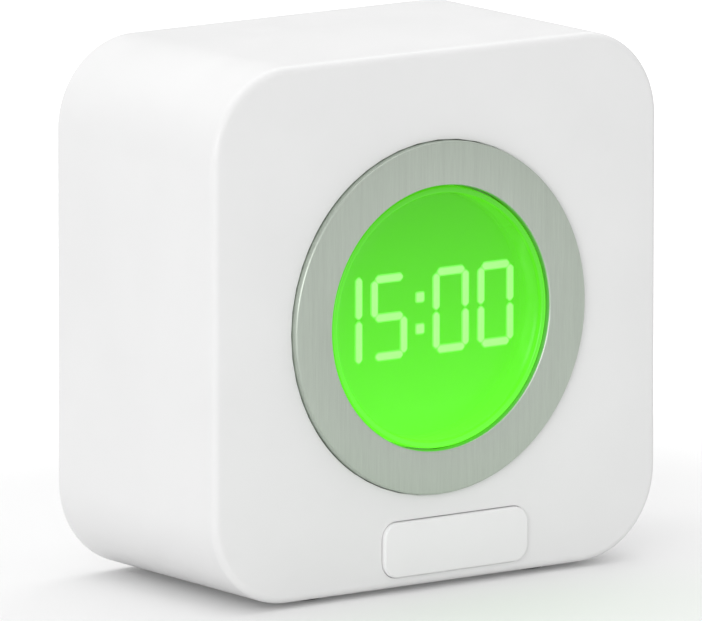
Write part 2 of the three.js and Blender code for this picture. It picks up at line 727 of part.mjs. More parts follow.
// White walls that keep the light of each digit to itself.
function lightReflector() {
  const innerRadius = reflectorRadius - display.wall;
  const ring = annulus(innerRadius, reflectorRadius, reflectorBack, reflectorFront);
  const span = 2 * innerRadius + display.wall;
  const rows = [-1, 1].map((side) =>
    box(span - 4, display.wall, reflectorBack, reflectorFront, 0, side * (digit.height / 2 + display.wall)),
  );
  const columns = [-1, 0, 1].map((side) => {
    const x = side * (digit.colonPitch / 2 + digit.pitch / 2);
    return box(display.wall, digit.height + 2 * display.wall, reflectorBack, reflectorFront, x, 0);
  });
  const disc = rod(reflectorRadius - display.wall / 2, reflectorBack, reflectorFront, 0, 0, sides.large);
  const walls = joined(...rows, ...columns).intersect(disc);
  return joined(ring, walls);
}

piece("display_lens", displayLens(), "diffuser");
piece("digit_plate", digitPlate(), "segments");
piece("light_reflector", lightReflector(), "whitePlastic");
piece("display_chassis", displayChassis(), "whitePlastic");

// A soft ring under the skirt that pushes the lens back out, open where the leg passes.
function returnRing() {
  const [back, front] = [displayBoardFront + gap.seat, skirtBack - lens.travel - gap.seat];
  const ring = annulus(skirtInner + gap.seat, lensOuter - gap.seat, back, front, sides.middle);
  return cut(ring, legSlot(back, front));
}

piece("return_ring", returnRing(), "silicone");
piece(
  "display_board",
  cut(
    rod(tubeInner - gap.fit, displayBoardBack, displayBoardFront, 0, 0, sides.large),
    legSlot(displayBoardBack, displayBoardFront),
  ),
  "circuitBoard",
);
digitCentres.forEach((x, i) => {
  const back = displayBoardFront + gap.seat;
  piece(`display_led_${i + 1}`, box(led.side, led.side, back, back + led.height, x, 0), "ledPackage");
});
piece(
  "board_header",
  box(header.width, header.thick, mainFront + gap.seat, displayBoardBack - gap.seat, 0, header.y),
  "blackPlastic",
);

// ---------------------------------------------------------------- main board

function mainBoardBody() {
  const wingSpan = 2 * (postX + boardScrew.head);
  const wingHeight = 2 * (postY + mainBoard.wingMargin);
  const body = joined(
    box(mainBoard.width, mainBoard.height, mainBack, mainFront),
    box(wingSpan, wingHeight, mainBack, mainFront),
  );
  const holes = quadrants.map(([sx, sy]) => {
    const [x, y] = [sx * postX, sy * postY];
    return rod(boardScrew.shank + gap.seat, mainBack - 1, mainFront + 1, x, y, sides.tiny);
  });
  return cut(body, ...holes);
}

piece("main_board", mainBoardBody(), "circuitBoard");
quadrants.forEach(([sx, sy], i) => {
  const [x, y] = [sx * postX, sy * postY];
  piece(`board_screw_${i + 1}`, screw(boardScrew, mainBack - gap.seat, postBack + boardScrew.bite, x, y), "steel");
});

piece(
  "start_switch",
  cut(
    box(startSwitch.side, startSwitch.side, switchBack, switchTop, 0, legY),
    rod(startSwitch.plungerRadius + gap.fit, switchTop - startSwitch.plungerDepth - lens.travel - gap.fit, switchTop + 1, 0, legY),
  ),
  "blackPlastic",
);
piece(
  "start_plunger",
  rod(startSwitch.plungerRadius, switchTop - startSwitch.plungerDepth, plungerTip, 0, legY),
  "greyPlastic",
);
const partBack = mainBack - gap.seat;
piece("processor", box(processor.side, processor.side, partBack - processor.height, partBack, 8, 0), "blackPlastic");
piece(
  "buzzer",
  cut(
    rod(buzzer.radius, partBack - buzzer.height, partBack, 0, sound.y, sides.middle),
    rod(buzzer.mouthRadius, partBack - buzzer.height - 1, partBack - buzzer.height + buzzer.mouthDepth, 0, sound.y),
  ),
  "blackPlastic",
);

// ---------------------------------------------------------------- battery and its leads

piece(
  "battery_pad",
  box(
    battery.width - battery.padMargin,
    battery.height - battery.padMargin,
    batteryPadBack,
    batteryPadBack + battery.padThick,
    0,
    battery.y,
  ),
  "greyPlastic",
);
piece(
  "battery",
  roundedSlab({
    width: battery.width,
    height: battery.height,
    corner: battery.edge + 0.5,
    back: batteryBack,
    front: batteryFront,
    edge: battery.edge,
    y: battery.y,
    curveSegments: 3,
  }),
  "cellFoil",
);
const plugBack = partBack - plug.depth;
piece("battery_connector", box(plug.width, plug.height, plugBack, partBack, plug.x, plug.y), "whitePlastic");

// A lead leaves the connector backwards and curves down into the top end of the cell.
function batteryLead(side) {
  const x = plug.x + (side * lead.spacing) / 2;
  const cellZ = (batteryBack + batteryFront) / 2;
  const path = new THREE.QuadraticBezierCurve3(
    new THREE.Vector3(x, plug.y, plugBack - gap.fit),
    new THREE.Vector3(x, plug.y, cellZ),
    new THREE.Vector3(x, batteryTop + gap.fit, cellZ),
  );
  const section = new THREE.Shape().absarc(0, 0, lead.radius, 0, 2 * Math.PI);
  return solid(new THREE.ExtrudeGeometry(section, { steps: 12, extrudePath: path, curveSegments: 4 }));
}

piece("battery_lead_red", batteryLead(-1), "redSleeve");
piece("battery_lead_black", batteryLead(1), "blackSleeve");

// ---------------------------------------------------------------- charging socket, power switch and status light

function ioBoardBody() {
  const middle = (ioTop + ioBottom) / 2;
  const holes = [-1, 1].map((sx) =>
    pillar(ioScrew.shank + gap.seat, ioBottom - 1, ioTop + 1, sx * shelfX, ioScrewZ, sides.tiny),
  );
  return cut(box(ioBoard.width, ioBoard.thick, ioRear, ioFront, 0, middle), ...holes);
}

// The same screw, driven down through the board into its shelf.
function ioScrewBody(sx) {
  const down = screw(ioScrew, 0, ioBoard.thick + 2 * gap.seat + ioScrew.bite, 0, 0);
  return down.rotate([90, 0, 0]).translate([sx * shelfX, ioTop + gap.seat, ioScrewZ]);
}

function usbSocket() {
  const rear = usbMouth + usb.length;
  return cut(usbOpening(0, usbMouth, rear), usbOpening(-usb.wall, usbMouth - 1, usbMouth + usb.mouthDepth));
}

function usbTongueBody() {
  const seat = usbMouth + usb.mouthDepth - gap.seat;
  return box(usbTongue.width, usbTongue.thick, usbMouth + usbTongue.set, seat, usb.x, usbY);
}

const stemTip = powerBack + powerSwitch.stemBite;

function powerSwitchBody() {
  const room = powerSwitch.stemX + powerSwitch.travel + 2 * gap.fit;
  return cut(
    box(powerSwitch.width, powerSwitch.height, powerBack, powerFront, powerSwitch.x, switchY),
    box(room, powerSwitch.stemY + 2 * gap.fit, powerBack - 1, stemTip + gap.fit, powerSwitch.x, switchY),
  );
}

// The slider rests at the off end of its travel, half the travel to the left of the switch's middle.
function powerSlider() {
  const x = powerSwitch.x - powerSwitch.travel / 2;
  let body = joined(
    box(knob.width, knob.height, knobBack, knobFront, x, switchY),
    box(powerSwitch.stemX, powerSwitch.stemY, knobBack + 0.5, stemTip, x, switchY),
  );
  for (let i = 0; i < knob.ridges; i += 1) {
    const across = ((i - (knob.ridges - 1) / 2) * knob.width) / knob.ridges;
    body = cut(body, box(knob.ridge, knob.height + 1, knobBack - 1, knobBack + knob.ridge, x + across, switchY));
  }
  return body;
}

const pipeTip = coverInner + gap.seat + lightPipe.flangeThick;

piece("io_board", ioBoardBody(), "circuitBoard");
[-1, 1].forEach((sx, i) => piece(`io_screw_${i + 1}`, ioScrewBody(sx), "steel"));
piece("usb_socket", usbSocket(), "steel");
piece("usb_tongue", usbTongueBody(), "blackPlastic");
piece("power_switch", powerSwitchBody(), "blackPlastic");
piece("power_slider", powerSlider(), "blackPlastic");
piece(
  "light_pipe",
  joined(
    rod(lightPipe.radius, rearZ + gap.seat, pipeTip, 0, usbY),
    rod(lightPipe.flange, coverInner + gap.seat, pipeTip, 0, usbY),
  ),
  "clearPlastic",
);
piece(
  "status_led",
  box(
    statusLed.width,
    statusLed.height,
    pipeTip + gap.seat,
    pipeTip + gap.seat + statusLed.depth,
    0,
    ioTop + gap.seat + statusLed.height / 2,
  ),
  "ledPackage",
);

// A flat ribbon from the front edge of the socket board up to the main board, with a slack bend.
function ioRibbon() {
  const start = [ioFront - 1, ioTop + gap.seat];
  const end = [partBack, ribbon.y];
  const path = new THREE.CubicBezierCurve(
    new THREE.Vector2(start[0] - 3, start[1] + ribbon.thick / 2),
    new THREE.Vector2(start[0] + 3, start[1] + ribbon.thick / 2),
    new THREE.Vector2(end[0] - ribbon.thick / 2, start[1] + 1),
    new THREE.Vector2(end[0] - ribbon.thick / 2, end[1]),
  ).getPoints(12);
  const side = (sign) =>
    path.map((point, i) => {
      const ahead = path[Math.min(i + 1, path.length - 1)].clone().sub(path[Math.max(i - 1, 0)]).normalize();
      return [point.x - (sign * ahead.y * ribbon.thick) / 2, point.y + (sign * ahead.x * ribbon.thick) / 2];
    });
  const strip = polygon([...side(-1), ...side(1).reverse()]);
  const options = { depth: ribbon.width, bevelEnabled: false };
  // The strip's outline lies in the z-y plane, and its width runs along x.
  return solid(new THREE.ExtrudeGeometry(strip, options).translate(0, 0, -ribbon.width / 2).rotateY(-Math.PI / 2));
}

piece("io_ribbon", ioRibbon(), "greyPlastic");

// ---------------------------------------------------------------- stand it up

timer.rotation.x = Math.PI / 2;
timer.position.z = -floorY;

export default timer;
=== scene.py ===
"""Looks of a table-top countdown timer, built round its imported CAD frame.

Pieces are drawn in millimetres in the face frame: x to the right and y up as one looks at the dial, z out of
the dial, with the middle of the casing at the origin. to_row() carries them to the row frame in metres.
"""

import json
import math

import bmesh
import bpy
from mathutils import Matrix, Vector

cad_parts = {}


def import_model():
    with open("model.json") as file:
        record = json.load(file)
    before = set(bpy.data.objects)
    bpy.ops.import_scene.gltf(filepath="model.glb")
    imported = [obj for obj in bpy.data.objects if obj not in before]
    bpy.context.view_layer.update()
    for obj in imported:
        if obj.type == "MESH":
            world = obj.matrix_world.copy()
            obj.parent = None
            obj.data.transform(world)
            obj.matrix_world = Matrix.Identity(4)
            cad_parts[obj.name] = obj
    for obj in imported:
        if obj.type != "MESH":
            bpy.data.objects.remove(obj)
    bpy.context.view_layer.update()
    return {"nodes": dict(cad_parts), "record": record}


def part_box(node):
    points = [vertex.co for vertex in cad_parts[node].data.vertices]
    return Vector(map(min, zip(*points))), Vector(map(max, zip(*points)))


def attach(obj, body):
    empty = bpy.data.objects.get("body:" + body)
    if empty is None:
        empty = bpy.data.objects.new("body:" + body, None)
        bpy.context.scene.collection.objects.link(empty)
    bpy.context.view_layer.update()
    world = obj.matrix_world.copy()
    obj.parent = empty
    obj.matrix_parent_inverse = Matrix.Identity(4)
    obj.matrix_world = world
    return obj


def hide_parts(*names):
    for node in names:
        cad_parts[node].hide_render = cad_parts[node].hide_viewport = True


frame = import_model()

MM = 0.001

# ---------------------------------------------------------------- measures from the frame


def face_box(node):
    """A node's lowest and highest corners in the face frame, in millimetres."""
    low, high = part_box(node)
    return (
        Vector((low.x, low.z - AXIS_Z, -high.y)) / MM,
        Vector((high.x, high.z - AXIS_Z, -low.y)) / MM,
    )


AXIS_Z = sum(corner.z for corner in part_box("front_shell")) / 2
TO_ROW = Matrix.Translation((0, 0, AXIS_Z)) @ Matrix.Rotation(math.pi / 2, 4, "X") @ Matrix.Scale(MM, 4)

CASE_LOW, CASE_HIGH = face_box("front_shell")
HALF_W, HALF_H = CASE_HIGH.x, CASE_HIGH.y
FACE_Z, REAR_Z = CASE_HIGH.z, CASE_LOW.z
RING_LOW, RING_HIGH = face_box("dial_ring")
RING_OUTER, RING_FRONT, RING_BACK = RING_HIGH.x, RING_HIGH.z, RING_LOW.z
LENS_LOW, LENS_HIGH = face_box("display_lens")
LENS_OUTER, LENS_RIM = LENS_HIGH.x, LENS_HIGH.z
PLATE_LOW, PLATE_HIGH = face_box("digit_plate")
BADGE_LOW, BADGE_HIGH = face_box("name_plate")
COVER_LOW, COVER_HIGH = face_box("rear_cover")
USB_LOW, USB_HIGH = face_box("usb_socket")
KNOB_LOW, KNOB_HIGH = face_box("power_slider")
PIPE_LOW, PIPE_HIGH = face_box("light_pipe")
SCREW_MIDDLES = [sum(face_box(f"cover_screw_{i}"), Vector()) / 2 for i in (1, 2, 3, 4)]
SCREW_BOXES = [face_box(f"cover_screw_{i}") for i in (1, 2, 3, 4)]
BOARD_SCREW_BOXES = [face_box(f"board_screw_{i}") for i in (1, 2, 3, 4)]
POST_MIDDLES = [(low + high) / 2 for low, high in BOARD_SCREW_BOXES]
BATTERY_LOW, BATTERY_HIGH = face_box("battery")
IO_LOW, IO_HIGH = face_box("io_board")
FOOT_BOXES = [face_box(f"rubber_foot_{i}") for i in (1, 2, 3, 4)]

# Sizes that a box can't give, in millimetres.
SEAT_GAP = 0.2
POCKET_GAP = 0.3
CORNER = 13.3
EDGE = 1.2
REAR_EDGE = 0.8
REAR_RIM = 0.3
INNER_EDGE = 0.8
SIDE_WALL = 2.0
FRONT_WALL = 2.4
WELL_GAP = 0.13
WELL_LIP = 0.15
WELL_FLOOR = 17.1
WELL_BACK = 15.1
WELL_WALL = 2.6
OPENING = 24.6
COVER_THICK = 2.6
COVER_INNER = REAR_Z + COVER_THICK
BOSS = {"radius": 3.2, "pilot": 10, "rib_reach": 5.5, "rib_half": 1, "back": COVER_INNER + SEAT_GAP}
POST = {"radius": 3, "pilot": 5, "back": 8.9 + SEAT_GAP}
PILOT_RADIUS = 1.0
BADGE = {"corner": 2.4, "gap": 0.12, "pocket_corner": 2.6, "back_round": 0.1, "front_round": 0.35}
FOOT = {"recess": 0.8, "round": 0.35}
RING_INNER = 19.6
RING_ROUND = 0.3
RIM_WIDTH = 0.9
RIM_ROUND = {"outer": 0.4, "inner": 0.3}
SKIRT_DEPTH = 7.6
CATCH = {"bite": 0.5, "reach": 1.1, "width": 4, "thick": 1}
LEG = {"inner": 0.85, "outer": 0.05, "width": 5, "bite": 0.5}
DISH_DEPTH = 2.6
DISH_FILLET = (5.2, 1.75)
DISH_CROWN = 0.35
LENS_FLOOR = 1.4
SOUND = {"radius": 0.9, "pitch": 3, "rings": 2, "y": 24}
LABEL = {"half_w": 17, "half_h": 6, "corner": 1.5, "depth": 0.3, "y": 3}
TRAY = {"fit": 0.3, "wall": 1.2, "reach": 5, "height": 6}
SHELF = {"half": 3, "thick": 3, "depth": 9}
SCREW = {"sink": 1.7, "hole": 1.1, "head": 1.2, "shank": 0.9, "tip": 0.6, "tip_length": 0.4}
CROSS = {"reach": 1.25, "half": 0.28, "depth": 0.75}
USB = {"corner": 1.55, "wall": 0.3, "depth": 6.2, "round": 0.12}
SWITCH = {"x": 9, "travel": 1, "half_w": 1.8, "half_h": 1.5, "proud": 0.9, "stem_w": 2.4, "stem_h": 1.2}
KNOB = {"thick": 1.9, "corner": 0.5, "back_round": 0.25, "front_round": 0.1, "stem_w": 1.1, "stem_h": 0.9}
GROOVE = {"half": 0.17, "pitch": 0.95, "depth": 0.32}
PIPE = {"radius": 1.0, "way": 1.2, "flange": 0.8}
PAST = 1  # how far a cutting tool runs past the surface that it cuts


def to_row(mesh):
    mesh.transform(TO_ROW)
    return mesh


# ---------------------------------------------------------------- mesh helpers


def make_object(name, bm, sharp=32):
    """A smooth-shaded object from a bmesh in the face frame, with edges over sharp degrees kept crisp."""
    bmesh.ops.recalc_face_normals(bm, faces=bm.faces)
    mesh = bpy.data.meshes.new(name)
    bm.to_mesh(mesh)
    bm.free()
    to_row(mesh)
    return shade(link(name, mesh), sharp)


def link(name, mesh):
    obj = bpy.data.objects.new(name, mesh)
    bpy.context.scene.collection.objects.link(obj)
    return obj


def shade(obj, sharp=32):
    obj.data.polygons.foreach_set("use_smooth", [True] * len(obj.data.polygons))
    obj.data.set_sharp_from_angle(angle=math.radians(sharp))
    return obj


def apply_modifiers(obj):
    graph = bpy.context.evaluated_depsgraph_get()
    mesh = bpy.data.meshes.new_from_object(obj.evaluated_get(graph))
    obj.modifiers.clear()
    old = obj.data
    obj.data = mesh
    bpy.data.meshes.remove(old)
    return obj


def boolean(obj, tools, operation="DIFFERENCE"):
    """Cuts tool objects from obj, or joins them to it, and removes them."""
    for tool in tools:
        change = obj.modifiers.new("change", "BOOLEAN")
        change.operation = operation
        change.solver = "EXACT"
        change.object = tool
    apply_modifiers(obj)
    for tool in tools:
        bpy.data.objects.remove(tool)
    return obj


def soften(obj, width, segments=2, angle=50):
    """Rounds every edge sharper than angle, then shades the piece."""
    bevel = obj.modifiers.new("soften", "BEVEL")
    bevel.width = width * MM
    bevel.segments = segments
    bevel.limit_method = "ANGLE"
    bevel.angle_limit = math.radians(angle)
    bevel.use_clamp_overlap = True
    apply_modifiers(obj)
    return shade(obj)


def add_ring(bm, points):
    return [bm.verts.new(point) for point in points]


def bridge(bm, ring_a, ring_b):
    count = len(ring_a)
    for i in range(count):
        j = (i + 1) % count
        bm.faces.new((ring_a[i], ring_a[j], ring_b[j], ring_b[i]))


def arc(r, z, radius, start, end, steps):
    """Profile points along an arc, angles in degrees."""
    angles = [math.radians(start + (end - start) * i / steps) for i in range(steps + 1)]
    return [(r + radius * math.cos(a), z + radius * math.sin(a)) for a in angles]


def lathe(name, profile, count=160, x=0, y=0, closed=False):
    """Turns (radius, z) points about the z axis. A radius of 0 closes the surface there."""
    bm = bmesh.new()
    rings = []
    for radius, z in profile:
        if radius == 0:
            rings.append([bm.verts.new((x, y, z))])
            continue
        angles = [2 * math.pi * i / count for i in range(count)]
        rings.append(add_ring(bm, [(x + radius * math.cos(a), y + radius * math.sin(a), z) for a in angles]))
    pairs = list(zip(rings, rings[1:])) + ([(rings[-1], rings[0])] if closed else [])
    for ring_a, ring_b in pairs:
        if len(ring_a) == 1 or len(ring_b) == 1:
            tip, ring = (ring_a[0], ring_b) if len(ring_a) == 1 else (ring_b[0], ring_a)
            for i in range(count):
                bm.faces.new((tip, ring[i], ring[(i + 1) % count]))
        else:
            bridge(bm, ring_a, ring_b)
    return make_object(name, bm)


def rounded_outline(half_w, half_h, corner, x=0, y=0, arc_steps=20, straight_steps=10):
    """Points round a rounded rectangle, anticlockwise from the right side."""
    points = []
    centres = [(1, 1), (-1, 1), (-1, -1), (1, -1)]
    for quarter, (sx, sy) in enumerate(centres):
        cx, cy = x + sx * (half_w - corner), y + sy * (half_h - corner)
        for i in range(arc_steps + 1):
            a = math.pi / 2 * (quarter + i / arc_steps)
            points.append((cx + corner * math.cos(a), cy + corner * math.sin(a)))
        nx, ny = centres[(quarter + 1) % 4]
        a = math.pi / 2 * (quarter + 1)
        end = (
            x + nx * (half_w - corner) + corner * math.cos(a),
            y + ny * (half_h - corner) + corner * math.sin(a),
        )
        start = points[-1]
        for i in range(1, straight_steps):
            share = i / straight_steps
            points.append((start[0] + (end[0] - start[0]) * share, start[1] + (end[1] - start[1]) * share))
    return points


def slab(name, half_w, half_h, corner, back, front, round_back, round_front, x=0, y=0, steps=5, arc_steps=12):
    """A closed rounded-rectangle slab with a rounded back and front edge."""
    bm = bmesh.new()
    sections = [(inset, back + depth) for inset, depth in edge_steps(round_back, steps)]
    sections += [(inset, front - depth) for inset, depth in reversed(edge_steps(round_front, steps))]
    rings = []
    for inset, z in sections:
        bend = max(corner - inset, 0.05)
        outline = rounded_outline(half_w - inset, half_h - inset, bend, x, y, arc_steps, 2)
        rings.append(add_ring(bm, [(px, py, z) for px, py in outline]))
    for ring_a, ring_b in zip(rings, rings[1:]):
        bridge(bm, ring_a, ring_b)
    bm.faces.new(list(reversed(rings[0])))
    bm.faces.new(rings[-1])
    return make_object(name, bm)


def edge_steps(radius, steps):
    """(inset, depth) pairs round an edge fillet, from the flat face to the side wall."""
    if radius == 0:
        return [(0, 0)]
    angles = [math.pi / 2 * i / steps for i in range(steps + 1)]
    return [(radius * (1 - math.sin(a)), radius * (1 - math.cos(a))) for a in angles]


def cuboid(name, low, high):
    bm = bmesh.new()
    bmesh.ops.create_cube(bm, size=1)
    size = Vector(high) - Vector(low)
    middle = (Vector(high) + Vector(low)) / 2
    bmesh.ops.scale(bm, vec=size, verts=bm.verts)
    bmesh.ops.translate(bm, vec=middle, verts=bm.verts)
    return make_object(name, bm)


def rod(name, radius, back, front, x=0, y=0, count=32):
    return lathe(name, [(0, back), (radius, back), (radius, front), (0, front)], count, x, y)


def stand(obj, x, z):
    """Turns a piece that lies along z to stand along y."""
    turn = Matrix.Rotation(-math.pi / 2, 4, "X")
    obj.data.transform(TO_ROW @ Matrix.Translation((x, 0, z)) @ turn @ TO_ROW.inverted())
    return obj


def post(name, radius, bottom, top, x, z, count=64):
    """A rod along y."""
    return stand(rod(name, radius, bottom, top, 0, 0, count), x, z)


def joined(name, parts):
    """One object from several that may touch but don't merge."""
    bm = bmesh.new()
    for part in parts:
        bm.from_mesh(part.data)
        bpy.data.objects.remove(part)
    mesh = bpy.data.meshes.new(name)
    bm.to_mesh(mesh)
    bm.free()
    return shade(link(name, mesh))


# ---------------------------------------------------------------- material helpers


class Surface:
    """A node material with a Principled shader, and short calls for its procedural detail."""

    def __init__(self, name, color, roughness, metallic=0.0):
        self.material = bpy.data.materials.new(name)
        self.material.use_nodes = True
        self.tree = self.material.node_tree
        self.shader = self.tree.nodes["Principled BSDF"]
        self.shader.inputs["Base Color"].default_value = (*color, 1)
        self.shader.inputs["Roughness"].default_value = roughness
        self.shader.inputs["Metallic"].default_value = metallic
        self.color = color
        self.coords = self.node("ShaderNodeTexCoord").outputs["Object"]

    def node(self, kind, **values):
        made = self.tree.nodes.new(kind)
        for key, value in values.items():
            setattr(made, key, value)
        return made

    def link(self, source, target):
        self.tree.links.new(source, target)

    def scaled(self, scale):
        """Object coordinates stretched by a scale per axis, in features per metre."""
        mapping = self.node("ShaderNodeMapping")
        mapping.inputs["Scale"].default_value = scale
        self.link(self.coords, mapping.inputs["Vector"])
        return mapping.outputs["Vector"]

    def noise(self, scale, detail=2.0, rough=0.5, vector=None):
        made = self.node("ShaderNodeTexNoise")
        made.inputs["Scale"].default_value = scale
        made.inputs["Detail"].default_value = detail
        made.inputs["Roughness"].default_value = rough
        self.link(vector or self.coords, made.inputs["Vector"])
        return made.outputs["Fac"]

    def ramp(self, factor, low, high, stops=(0.0, 1.0)):
        """A colour or grey that runs from low to high as factor goes between the two stops."""
        made = self.node("ShaderNodeValToRGB")
        first, last = made.color_ramp.elements
        first.position, last.position = stops
        first.color = (*low, 1) if isinstance(low, tuple) else (low, low, low, 1)
        last.color = (*high, 1) if isinstance(high, tuple) else (high, high, high, 1)
        self.link(factor, made.inputs["Fac"])
        return made.outputs["Color"]

    def vary_color(self, factor, low, high, stops=(0.3, 0.7)):
        shades = [tuple(min(c * k, 1.0) for c in self.color) for k in (low, high)]
        self.link(self.ramp(factor, *shades, stops), self.shader.inputs["Base Color"])

    def vary_roughness(self, factor, low, high, stops=(0.3, 0.7)):
        self.link(self.ramp(factor, low, high, stops), self.shader.inputs["Roughness"])

    def bump(self, height, distance, strength=0.5):
        made = self.node("ShaderNodeBump")
        made.inputs["Distance"].default_value = distance
        made.inputs["Strength"].default_value = strength
        self.link(height, made.inputs["Height"])
        self.link(made.outputs["Normal"], self.shader.inputs["Normal"])


def srgb(*levels):
    """Linear colour from 0 to 255 display levels."""
    shares = [level / 255 for level in levels]
    return tuple(s / 12.92 if s <= 0.04045 else ((s + 0.055) / 1.055) ** 2.4 for s in shares)


def moulded(name, color, roughness, grain=0.00002):
    """Moulded plastic with a fine grain, faint blotches of gloss and a slight unevenness of tone."""
    surface = Surface(name, color, roughness)
    blotch = surface.noise(60, 3.0)
    fine = surface.noise(4500, 3.0, 0.6)
    surface.vary_color(blotch, 0.985, 1.01)
    surface.vary_roughness(surface.noise(240, 4.0), roughness - 0.06, roughness + 0.07)
    surface.bump(fine, grain, 0.35)
    return surface.material


def brushed_ring():
    """Aluminium brushed straight across in one direction, with fine and coarse streaks."""
    surface = Surface("brushed_ring", srgb(197, 206, 195), 0.38, 1.0)
    fine = surface.noise(1.0, 4.0, 0.7, surface.scaled((9000, 9000, 220)))
    coarse = surface.noise(1.0, 3.0, 0.6, surface.scaled((2600, 2600, 60)))
    cloud = surface.noise(90, 2.0)
    mixed = surface.node("ShaderNodeMix", data_type="FLOAT")
    mixed.inputs[0].default_value = 0.35
    surface.link(fine, mixed.inputs[2])
    surface.link(coarse, mixed.inputs[3])
    streaks = mixed.outputs[0]
    surface.vary_color(streaks, 0.89, 1.06, (0.32, 0.68))
    rough = surface.node("ShaderNodeMix", data_type="FLOAT")
    rough.inputs[0].default_value = 0.3
    surface.link(streaks, rough.inputs[2])
    surface.link(cloud, rough.inputs[3])
    surface.vary_roughness(rough.outputs[0], 0.36, 0.52)
    surface.bump(streaks, 0.00002, 0.3)
    surface.shader.inputs["Anisotropic"].default_value = 0.5
    return surface.material


def painted_shade_glow(surface):
    """The green of the display, brighter at its bottom than at its top: the backlight's glow with painted
    light below and painted shade above, where the dish's slopes face up to the light or away from it.
    """
    axes = surface.node("ShaderNodeSeparateXYZ")
    surface.link(surface.coords, axes.inputs["Vector"])
    level = surface.node("ShaderNodeMapRange")
    level.inputs["From Min"].default_value = DISPLAY_BOTTOM
    level.inputs["From Max"].default_value = DISPLAY_TOP
    surface.link(axes.outputs["Z"], level.inputs["Value"])
    return surface.ramp(level.outputs["Result"], GLOW_BOTTOM_PAINTED_LIGHT, GLOW_TOP_PAINTED_SHADE)


DISPLAY_BOTTOM = AXIS_Z - LENS_OUTER * MM
DISPLAY_TOP = AXIS_Z + LENS_OUTER * MM
# The bright bottom green is painted light and the darker top green is painted shade, for the dish's slopes
# that catch or miss the light.
GLOW_BOTTOM_PAINTED_LIGHT = (0.125, 0.90, 0.020)
GLOW_TOP_PAINTED_SHADE = (0.066, 0.46, 0.006)


def lit_lens(name, alpha, strength):
    """Diffusing plastic lit green from behind."""
    surface = Surface(name, (0.02, 0.13, 0.01), 0.24)
    # The glow carries painted shade: darker at the top, brighter at the bottom.
    glow = painted_shade_glow(surface)
    surface.link(glow, surface.shader.inputs["Emission Color"])
    surface.shader.inputs["Emission Strength"].default_value = strength
    surface.shader.inputs["Alpha"].default_value = alpha
    surface.bump(surface.noise(900, 2.0), 0.00001, 0.12)
    return surface.material


def lit_plate():
    """The plate behind the lens, in the same green."""
    surface = Surface("lit_plate", (0.02, 0.13, 0.01), 0.5)
    # The same glow with painted shade, darker at the top and brighter at the bottom.
    glow = painted_shade_glow(surface)
    surface.link(glow, surface.shader.inputs["Emission Color"])
    surface.shader.inputs["Emission Strength"].default_value = 1.0
    surface.bump(surface.noise(2000, 2.0), 0.00001, 0.2)
    return surface.material


def lit_segment(name, color, strength):
    surface = Surface(name, color, 0.5)
    tint = surface.ramp(surface.noise(300, 2.0), tuple(c * 0.94 for c in color), color, (0.3, 0.7))
    surface.link(tint, surface.shader.inputs["Emission Color"])
    surface.shader.inputs["Emission Strength"].default_value = strength
    return surface.material


def rubber():
    surface = Surface("foot_rubber", srgb(46, 46, 48), 0.82)
    surface.vary_color(surface.noise(700, 4.0), 0.8, 1.25)
    surface.bump(surface.noise(3000, 3.0), 0.00004, 0.5)
    return surface.material


def plated_steel(name, color=(0.55, 0.56, 0.58)):
    surface = Surface(name, color, 0.3, 1.0)
    surface.vary_roughness(surface.noise(1200, 4.0), 0.22, 0.42)
    surface.vary_color(surface.noise(500, 3.0), 0.9, 1.05)
    surface.bump(surface.noise(3500, 2.0), 0.00001, 0.25)
    return surface.material


def circuit_board():
    """Green solder mask with raised tracks."""
    surface = Surface("circuit_board", srgb(24, 92, 52), 0.35)
    cells = surface.node("ShaderNodeTexVoronoi", feature="DISTANCE_TO_EDGE")
    cells.inputs["Scale"].default_value = 420
    surface.link(surface.coords, cells.inputs["Vector"])
    tracks = surface.ramp(cells.outputs["Distance"], srgb(40, 126, 70), srgb(20, 82, 46), (0.03, 0.08))
    surface.link(tracks, surface.shader.inputs["Base Color"])
    surface.bump(cells.outputs["Distance"], 0.00003, 0.4)
    return surface.material


def clear_pipe():
    surface = Surface("light_pipe", srgb(225, 230, 226), 0.12)
    surface.shader.inputs["Alpha"].default_value = 0.55
    surface.bump(surface.noise(1500, 2.0), 0.00001, 0.2)
    return surface.material


def foil():
    surface = Surface("battery_foil", srgb(190, 194, 198), 0.35, 0.8)
    surface.bump(surface.noise(350, 3.0), 0.0001, 0.4)
    surface.vary_roughness(surface.noise(160, 2.0), 0.28, 0.5)
    return surface.material


MATERIALS = {
    "casing_plastic": moulded("casing_plastic", srgb(236, 236, 236), 0.42),
    "name_plate": moulded("name_plate", srgb(241, 241, 241), 0.34, 0.000002),
    "dial_metal": brushed_ring(),
    "display_lens": lit_lens("lit_lens", 0.42, 1.0),
    "display_segments": lit_plate(),
    "inner_white": moulded("inner_white", srgb(226, 226, 222), 0.55),
    "black_plastic": moulded("black_plastic", srgb(30, 31, 33), 0.5),
    "knob_plastic": moulded("knob_plastic", srgb(44, 45, 47), 0.48),
    "grey_plastic": moulded("grey_plastic", srgb(150, 152, 152), 0.55),
    "gear_plastic": moulded("gear_plastic", srgb(226, 223, 212), 0.4),
    "screw_steel": plated_steel("screw_steel"),
    "socket_steel": plated_steel("socket_steel", (0.6, 0.61, 0.63)),
    "foot_rubber": rubber(),
    "silicone": moulded("silicone", srgb(212, 212, 208), 0.7),
    "circuit_board": circuit_board(),
    "led_package": moulded("led_package", srgb(232, 228, 204), 0.45),
    "battery_foil": foil(),
    "foam": moulded("foam", srgb(90, 90, 90), 0.9, 0.0001),
    "lead_red": moulded("lead_red", srgb(178, 32, 28), 0.45),
    "lead_black": moulded("lead_black", srgb(24, 24, 26), 0.45),
    "light_pipe": clear_pipe(),
}

